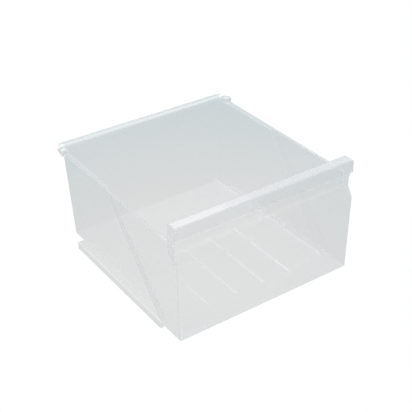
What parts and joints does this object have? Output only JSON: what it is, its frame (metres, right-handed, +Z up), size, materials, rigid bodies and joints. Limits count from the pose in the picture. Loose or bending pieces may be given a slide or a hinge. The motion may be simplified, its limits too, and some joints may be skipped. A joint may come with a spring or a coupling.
{
  "type": "freezer drawer",
  "caption": "Clear moulded freezer drawer, open at the top, with a channel handle over a finger recess, stepped sides, a rolled rear rim and side runners.",
  "frame": {"origin": "under the middle of the drawer's bounding box, at the underside of the runners", "axes": "+Z up, -Y towards the user (the handle side), +X to the right seen from the handle side"},
  "size_m": [0.42, 0.4408, 0.2575],
  "materials": {
    "clear_plastic": "clear injection-moulded polystyrene, polished, with a faint blue-grey tint"
  },
  "bodies": {
    "root": {"drawer": "clear_plastic"}
  },
  "joints": []
}
